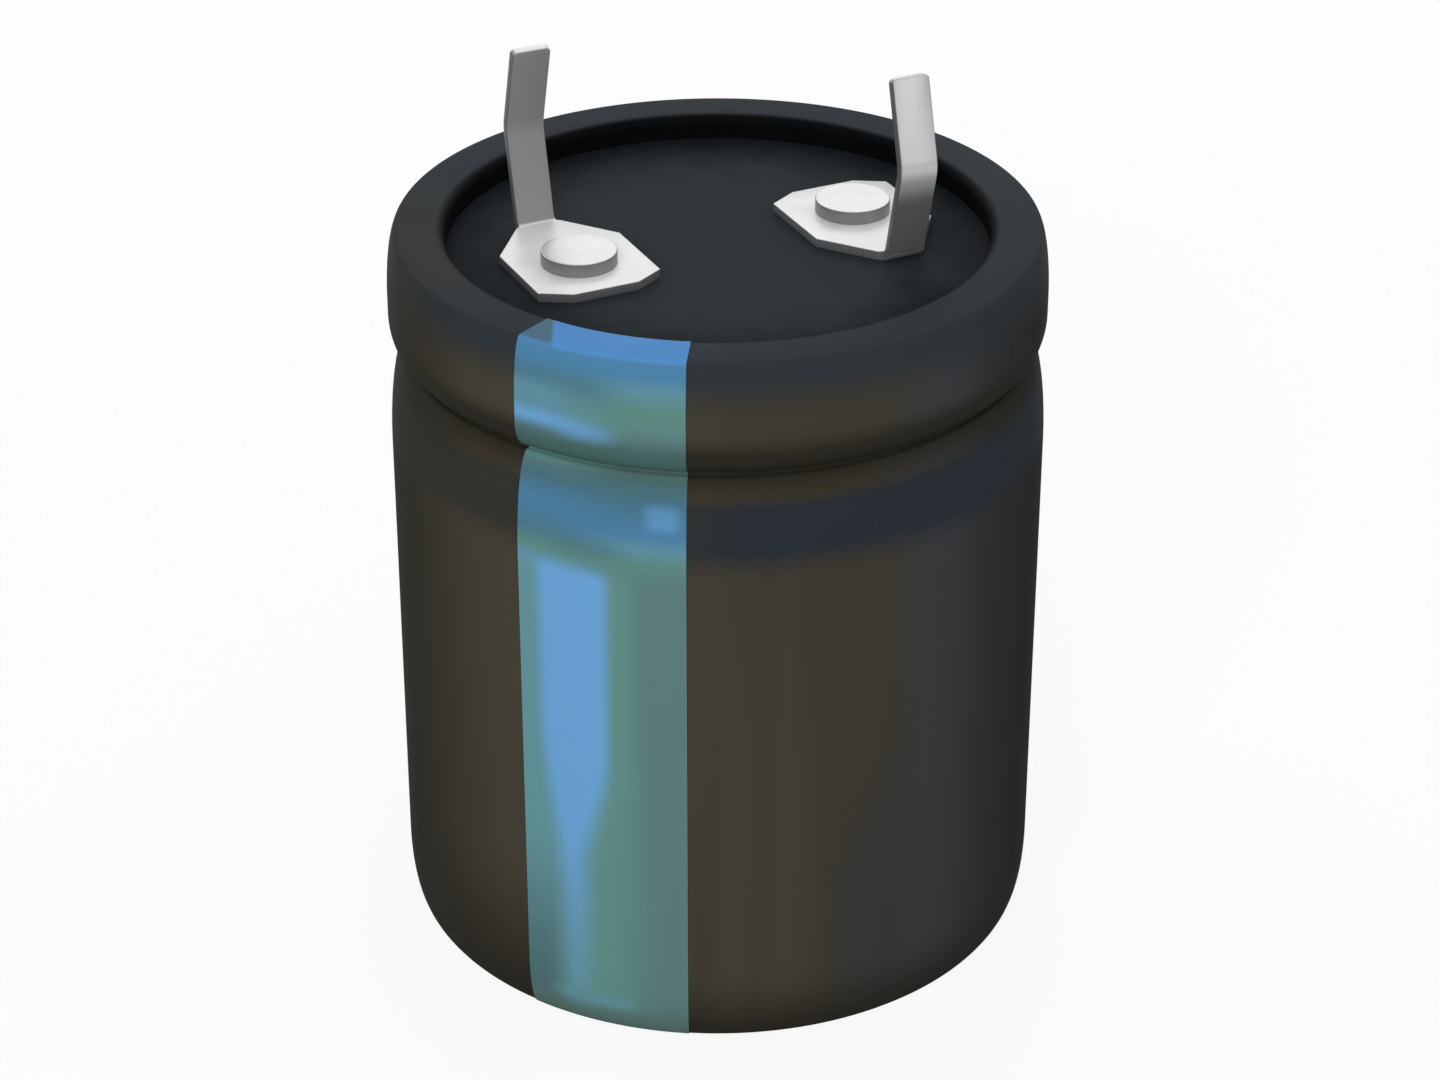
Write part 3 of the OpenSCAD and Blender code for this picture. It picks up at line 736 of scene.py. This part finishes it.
def buildTurnTree():
    # turns an outline round the can's axis: one row of the grid for each point of the outline
    tree = bpy.data.node_groups.new("turnOutline", "GeometryNodeTree")
    socket = tree.interface.new_socket
    socket("Geometry", in_out="INPUT", socket_type="NodeSocketGeometry")
    for name, kind, value in (
        ("Turn Steps", "NodeSocketInt", 96), ("Closed Outline", "NodeSocketInt", 1),
        ("Start Angle", "NodeSocketFloat", 0.0), ("Sweep Angle", "NodeSocketFloat", 2 * math.pi),
        ("Ripple Depth", "NodeSocketFloat", 0.0), ("Ripple Scale", "NodeSocketFloat", 200.0),
        ("Ripple Seed", "NodeSocketFloat", 0.0),
    ):
        socket(name, in_out="INPUT", socket_type=kind).default_value = value
    socket("Finish", in_out="INPUT", socket_type="NodeSocketMaterial")
    socket("Geometry", in_out="OUTPUT", socket_type="NodeSocketGeometry")
    given = addNode(tree, "NodeGroupInput").outputs
    size = addNode(tree, "GeometryNodeAttributeDomainSize", {0: given["Geometry"]}, component="MESH")
    points = size.outputs["Point Count"]
    rows = calc(tree, "ADD", points, given["Closed Outline"])
    columns = calc(tree, "ADD", given["Turn Steps"], 1.0)
    grid = addNode(tree, "GeometryNodeMeshGrid", {"Vertices X": rows, "Vertices Y": columns})
    index = addNode(tree, "GeometryNodeInputIndex").outputs[0]
    row = calc(tree, "FLOOR", calc(tree, "DIVIDE", calc(tree, "ADD", index, 0.5), columns))
    column = calc(tree, "SUBTRACT", index, times(tree, row, columns))
    row = calc(tree, "MODULO", row, points)
    place = addNode(tree, "GeometryNodeInputPosition").outputs[0]
    skin = addNode(tree, "GeometryNodeInputNamedAttribute", {"Name": "skin"}, data_type="FLOAT").outputs[0]

    def sampled(value, kind):
        made = addNode(tree, "GeometryNodeSampleIndex", {
            "Geometry": given["Geometry"], "Value": value, "Index": row}, data_type=kind, domain="POINT")
        return made.outputs[0]

    onSkin = sampled(skin, "FLOAT")
    parts = addNode(tree, "ShaderNodeSeparateXYZ", {0: sampled(place, "FLOAT_VECTOR")})
    radius, height = parts.outputs[0], parts.outputs[2]
    angle = calc(tree, "DIVIDE", times(tree, column, given["Sweep Angle"]), given["Turn Steps"])
    angle = calc(tree, "ADD", angle, given["Start Angle"])
    across, front = calc(tree, "SINE", angle), times(tree, calc(tree, "COSINE", angle), -1.0)

    def placeAt(out):
        made = addNode(tree, "ShaderNodeCombineXYZ", {
            0: times(tree, out, across), 1: times(tree, out, front), 2: height})
        return made.outputs[0]

    wave = addNode(tree, "ShaderNodeTexNoise", {
        "Vector": placeAt(radius), "W": given["Ripple Seed"], "Scale": given["Ripple Scale"], "Detail": 1.0,
    }, noise_dimensions="4D")
    depth = times(tree, times(tree, wave.outputs[0], given["Ripple Depth"]), onSkin)
    made = placeAt(calc(tree, "SUBTRACT", radius, depth))
    moved = addNode(tree, "GeometryNodeSetPosition", {"Geometry": grid.outputs[0], "Position": made})
    merged = addNode(tree, "GeometryNodeMergeByDistance", {
        "Geometry": moved.outputs[0], "Distance": gridWeld * mm})
    smooth = addNode(tree, "GeometryNodeSetShadeSmooth", {"Geometry": merged.outputs[0]})
    real = addNode(tree, "GeometryNodeRealizeInstances", {"Geometry": smooth.outputs[0]})
    dressed = addNode(tree, "GeometryNodeSetMaterial", {
        "Geometry": real.outputs[0], "Material": given["Finish"]})
    addNode(tree, "NodeGroupOutput", {0: dressed.outputs[0]})
    return tree


turnTree = buildTurnTree()


def turned(name, outline, finish, steps, skin=None, closed=True, start=0.0, sweep=360.0, ripple=False):
    mesh = bpy.data.meshes.new(name)
    edges = [(i, i + 1) for i in range(len(outline) - 1)]
    mesh.from_pydata([(r * mm, 0, z * mm) for r, z in outline], edges, [])
    flags = mesh.attributes.new("skin", "FLOAT", "POINT")
    for i, flag in enumerate(skin or [0.0] * len(outline)):
        flags.data[i].value = flag
    piece = bpy.data.objects.new(name, mesh)
    scene.collection.objects.link(piece)
    modifier = piece.modifiers.new("turn", "NODES")
    modifier.node_group = turnTree
    settings = {
        "Turn Steps": steps, "Closed Outline": int(closed),
        "Start Angle": math.radians(start), "Sweep Angle": math.radians(sweep),
        "Ripple Depth": sleeve["rippleDepth"] * mm if ripple else 0.0,
        "Ripple Scale": float(sleeve["rippleScale"]), "Ripple Seed": float(sleeve["rippleSeed"]),
        "Finish": finish,
    }
    for item in turnTree.interface.items_tree:
        if item.in_out == "INPUT" and item.name in settings:
            modifier[item.identifier] = settings[item.name]
    return piece


def applied(piece, sharp=35):
    # the evaluated shape as a plain mesh, with its faces outwards
    bpy.context.view_layer.update()
    seen = piece.evaluated_get(bpy.context.evaluated_depsgraph_get())
    mesh = bpy.data.meshes.new_from_object(seen)
    piece.modifiers.clear()
    piece.data = mesh
    work = bmesh.new()
    work.from_mesh(mesh)
    bmesh.ops.remove_doubles(work, verts=work.verts, dist=meshWeld * mm)
    bmesh.ops.recalc_face_normals(work, faces=work.faces)
    if work.calc_volume(signed=True) < 0:
        bmesh.ops.reverse_faces(work, faces=work.faces)
    work.to_mesh(mesh)
    work.free()
    mesh.name = piece.name
    for polygon in mesh.polygons:
        polygon.use_smooth = True
    mesh.set_sharp_from_angle(angle=math.radians(sharp))
    return piece


def meshBox(mesh):
    places = [vertex.co for vertex in mesh.vertices]
    return Vector(map(min, *places)), Vector(map(max, *places))


def fit(piece, slot, *nodes):
    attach(piece, "root")
    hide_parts(*nodes)
    corners = zip(meshBox(piece.data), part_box(nodes[0]))
    off = max(abs(a - b) for own, solid in corners for a, b in zip(own, solid))
    print("fitted", piece.name, "faces", len(piece.data.polygons),
          "off its solid's box by", round(off / mm, 3), "mm")


def buildSleeve():
    s = sleeve
    curlIn = canRadius - s["rimIn"] - s["curlWidth"]
    heelRadius = canRadius - s["heelIn"]
    lipIn, discEdge = heelRadius - s["footLip"], heelRadius - s["discIn"]
    outside = filmOutline(filmWall, 0.0)
    inside = filmOutline(0.0, canFoot, fine=0.5)
    outline = [(lipIn, 0.0)] + outside
    skin = [0.0, 0.0] + [1.0] * (len(outside) - 1)
    outline += [(curlIn - filmWall, deckHeight), (curlIn, deckHeight)] + inside[::-1]
    outline += [(discEdge, canFoot), (discEdge, filmWall), (lipIn, filmWall)]
    skin += [0.0] * (len(outline) - len(skin))
    piece = turned("shrunk_sleeve", outline, film, s["turnSteps"], skin=skin, ripple=True)
    fit(applied(piece), "sleeve_film", "sleeve")


# directions in degrees from the front; margin: rows of the film's outline left free at each end
stripe = {"middle": -20.2, "width": 30.1, "ink": 0.03, "margin": 2, "turnSteps": 40}


def buildStripe():
    s = stripe
    outline = filmOutline(filmWall, 0.0)[s["margin"]:-s["margin"]]
    start = s["middle"] - s["width"] / 2
    piece = turned("printed_stripe", outline, stripePrint, s["turnSteps"], skin=[1.0] * len(outline),
                   closed=False, start=start, sweep=s["width"], ripple=True)
    thicken = piece.modifiers.new("ink", "SOLIDIFY")
    thicken.thickness = s["ink"] * mm
    thicken.offset = -1.0
    thicken.use_even_offset = True
    fit(applied(piece), "stripe_ink", "polarity_stripe")


buildSleeve()
buildStripe()
print("sleeve and stripe turned")


terminalCut = {
    "sheet": 0.32, "plateWidth": 4.4, "plateFront": 1.58, "plateBack": 1.65, "plateTail": 2.25,
    "tailWidth": 2.3, "taperEnd": 3.6, "holeRadius": 0.75, "holeSides": 48,
    "bladeWidth": 1.35, "bladeReach": 3.95, "bendRadius": 0.25, "leanOut": 13.6, "leanIn": 15,
    "kinkHeight": 3.54, "kinkRadius": 1.2, "tipHeight": 6.58, "tipBevel": 0.12,
    "rivetAt": 5.06, "rivetTurn": 24.9, "bladeTurn": -64.3,
    "bendRows": 8, "kinkRows": 10, "edgeSoft": 0.035, "edgeRows": 3, "edgeAngle": 40,
    "cutFrom": 0.45, "cutOver": 0.35,    # how far sideways a face looks before it counts as sheared
}


def terminalStations():
    # outer face of the folded sheet from tail to tip: place, direction to the inner face, half width
    c = terminalCut
    t, wide, narrow = c["sheet"], c["plateWidth"] / 2, c["bladeWidth"] / 2
    outAngle, inAngle = -c["leanOut"], c["leanIn"]
    bendAt, bendHigh = c["bladeReach"] - c["bendRadius"] - t, t + c["bendRadius"]
    flat = [(-c["plateTail"], c["tailWidth"] / 2), (-c["plateBack"], wide), (c["plateFront"], wide)]
    slope = (wide - narrow) / (c["taperEnd"] - c["plateFront"])
    flat.append((bendAt, wide - slope * (bendAt - c["plateFront"])))
    stations = [((x, 0.0), (0.0, 1.0), half) for x, half in flat]
    outer = c["bendRadius"] + t
    steps = c["bendRows"]
    for step in range(1, steps + 1):
        angle = math.radians(-90 + (outAngle + 90) * step / steps)
        reach = (bendAt + outer * math.cos(angle), bendHigh + outer * math.sin(angle))
        along = bendAt + outer * math.radians(90 + math.degrees(angle))
        half = max(narrow, wide - slope * (along - c["plateFront"]))
        stations.append((reach, (-math.cos(angle), -math.sin(angle)), half))
    foot = stations[-1][0]
    lean, back = math.radians(90 + outAngle), math.radians(90 + inAngle)
    corner = (foot[0] + (c["kinkHeight"] - foot[1]) / math.tan(lean), c["kinkHeight"])
    outerKink = c["kinkRadius"] + t
    cutBack = outerKink * math.tan((back - lean) / 2)
    centre = (corner[0] - cutBack * math.cos(lean) - outerKink * math.sin(lean),
              corner[1] - cutBack * math.sin(lean) + outerKink * math.cos(lean))
    steps = c["kinkRows"]
    for step in range(steps + 1):
        angle = math.radians(outAngle + (inAngle - outAngle) * step / steps)
        reach = (centre[0] + outerKink * math.cos(angle), centre[1] + outerKink * math.sin(angle))
        stations.append((reach, (-math.cos(angle), -math.sin(angle)), narrow))
    last = stations[-1]
    along = (math.cos(back), math.sin(back))
    run = (c["tipHeight"] - last[0][1]) / along[1]
    for distance, half in ((run - c["tipBevel"], narrow), (run, narrow - c["tipBevel"])):
        reach = (last[0][0] + along[0] * distance, last[0][1] + along[1] * distance)
        stations.append((reach, last[1], half))
    return stations


def buildTerminal(name, side, node):
    c = terminalCut
    work = bmesh.new()
    rows = []
    for (x, z), (nx, nz), half in terminalStations():
        row = []
        for depth, y in ((0, -half), (0, half), (c["sheet"], half), (c["sheet"], -half)):
            row.append(work.verts.new(((x + nx * depth) * mm, y * mm, (z + nz * depth) * mm)))
        rows.append(row)
    for first, second in zip(rows, rows[1:]):
        for k in range(4):
            work.faces.new((first[k], first[(k + 1) % 4], second[(k + 1) % 4], second[k]))
    work.faces.new(rows[0][::-1])
    work.faces.new(rows[-1])
    bmesh.ops.recalc_face_normals(work, faces=work.faces)
    turn = (Matrix.Rotation(math.radians(side + c["rivetTurn"]), 4, "Z")
            @ Matrix.Translation((c["rivetAt"] * mm, 0, deckHeight * mm))
            @ Matrix.Rotation(math.radians(c["bladeTurn"] - c["rivetTurn"]), 4, "Z"))
    bmesh.ops.transform(work, matrix=turn, verts=work.verts)
    mesh = bpy.data.meshes.new(name)
    work.to_mesh(mesh)
    work.free()
    mesh.materials.append(sheet)
    piece = bpy.data.objects.new(name, mesh)
    scene.collection.objects.link(piece)
    drill = drillAt(side)
    hole = piece.modifiers.new("rivetHole", "BOOLEAN")
    hole.operation, hole.object, hole.solver = "DIFFERENCE", drill, "EXACT"
    soft = piece.modifiers.new("shearedEdge", "BEVEL")
    soft.width, soft.segments = c["edgeSoft"] * mm, c["edgeRows"]
    soft.limit_method, soft.angle_limit = "ANGLE", math.radians(c["edgeAngle"])
    applied(piece, sharp=50)
    bpy.data.objects.remove(drill)
    markFaces(piece, math.radians(side + c["bladeTurn"]))
    fit(piece, "terminal_sheet", node)


def markFaces(piece, turn):
    # facing: 1 on the blade's face towards its rivet, -1 on its outer face, 0 on the plate
    # edge: 1 where sheared, where the painted shade goes
    inward = Vector((-math.cos(turn), -math.sin(turn), 0))
    sideways = Vector((inward.y, -inward.x, 0))
    plateTop = (deckHeight + terminalCut["sheet"] + 0.02) * mm    # and a little over, for rounding
    facing = piece.data.attributes.new("facing", "FLOAT", "POINT")
    edge = piece.data.attributes.new("edge", "FLOAT", "POINT")
    for vertex in piece.data.vertices:
        normal, onPlate = vertex.normal, vertex.co.z < plateTop
        facing.data[vertex.index].value = 0 if onPlate else normal.dot(inward)
        cut = math.hypot(normal.x, normal.y) if onPlate else abs(normal.dot(sideways))
        share = (cut - terminalCut["cutFrom"]) / terminalCut["cutOver"]
        edge.data[vertex.index].value = min(1, max(0, share))


def drillAt(side):
    c = terminalCut
    mesh = bpy.data.meshes.new("drill")
    work = bmesh.new()
    place = (Matrix.Rotation(math.radians(side + c["rivetTurn"]), 4, "Z")
             @ Matrix.Translation((c["rivetAt"] * mm, 0, (deckHeight + c["sheet"] / 2) * mm)))
    radius = c["holeRadius"] * mm
    bmesh.ops.create_cone(work, cap_ends=True, segments=c["holeSides"], radius1=radius, radius2=radius,
                          depth=c["sheet"] * 3 * mm, matrix=place)
    work.to_mesh(mesh)
    work.free()
    drill = bpy.data.objects.new("drill", mesh)
    scene.collection.objects.link(drill)
    return drill


rivetTurned = {
    "shank": 1.5, "head": 2.55, "headHeight": 0.46, "headRound": 0.06, "roundRows": 6,
    "tail": 2.5, "tailHeight": 0.4, "steps": 72,
    "shadedSideFrom": 0.6,    # how far sideways a face looks before it takes the side's painted shade
}


def buildRivet(name, side, node):
    r = rivetTurned
    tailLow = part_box(node)[0].z / mm
    tailHigh = tailLow + r["tailHeight"]
    plateTop = deckHeight + terminalCut["sheet"]
    headTop, soft = plateTop + r["headHeight"], r["headRound"]
    shank, head, tail = r["shank"] / 2, r["head"] / 2, r["tail"] / 2
    outline = [(0, tailLow), (tail - soft, tailLow), (tail, tailLow + soft), (tail, tailHigh),
               (shank, tailHigh), (shank, plateTop), (head, plateTop)]
    outline += arc((head - soft, headTop - soft), (soft, soft), 0, 90, r["roundRows"])
    outline += [(head - 4 * soft, headTop), (0, headTop)]
    piece = turned(name, outline, rivetMetal, r["steps"], closed=False)
    applied(piece, sharp=40)
    place = (Matrix.Rotation(math.radians(side + terminalCut["rivetTurn"]), 4, "Z")
             @ Matrix.Translation((terminalCut["rivetAt"] * mm, 0, 0)))
    piece.data.transform(place)
    # edge: 1 on the sideways faces, where the painted shade goes
    edge = piece.data.attributes.new("edge", "FLOAT", "POINT")
    for vertex in piece.data.vertices:
        sideways = math.hypot(vertex.normal.x, vertex.normal.y)
        edge.data[vertex.index].value = 1 if sideways > r["shadedSideFrom"] else 0
    fit(piece, "rivet_aluminium", node)


for sideName, side in (("positive", 0), ("negative", 180)):
    buildTerminal("folded_terminal_" + sideName, side, "terminal_" + sideName)
    buildRivet("turned_rivet_" + sideName, side, "rivet_" + sideName)
print("terminals folded and riveted")


def dress(node, material):
    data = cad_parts[node].data
    data.materials.clear()
    data.materials.append(material)


dress("seal_disc", rubber)
for name, (nodes, *values) in innerFinishes.items():
    material = innerMaterial(name, *values)
    for node in nodes:
        dress(node, material)
print("deck and inner pieces dressed in", len(innerFinishes) + 1, "finishes")
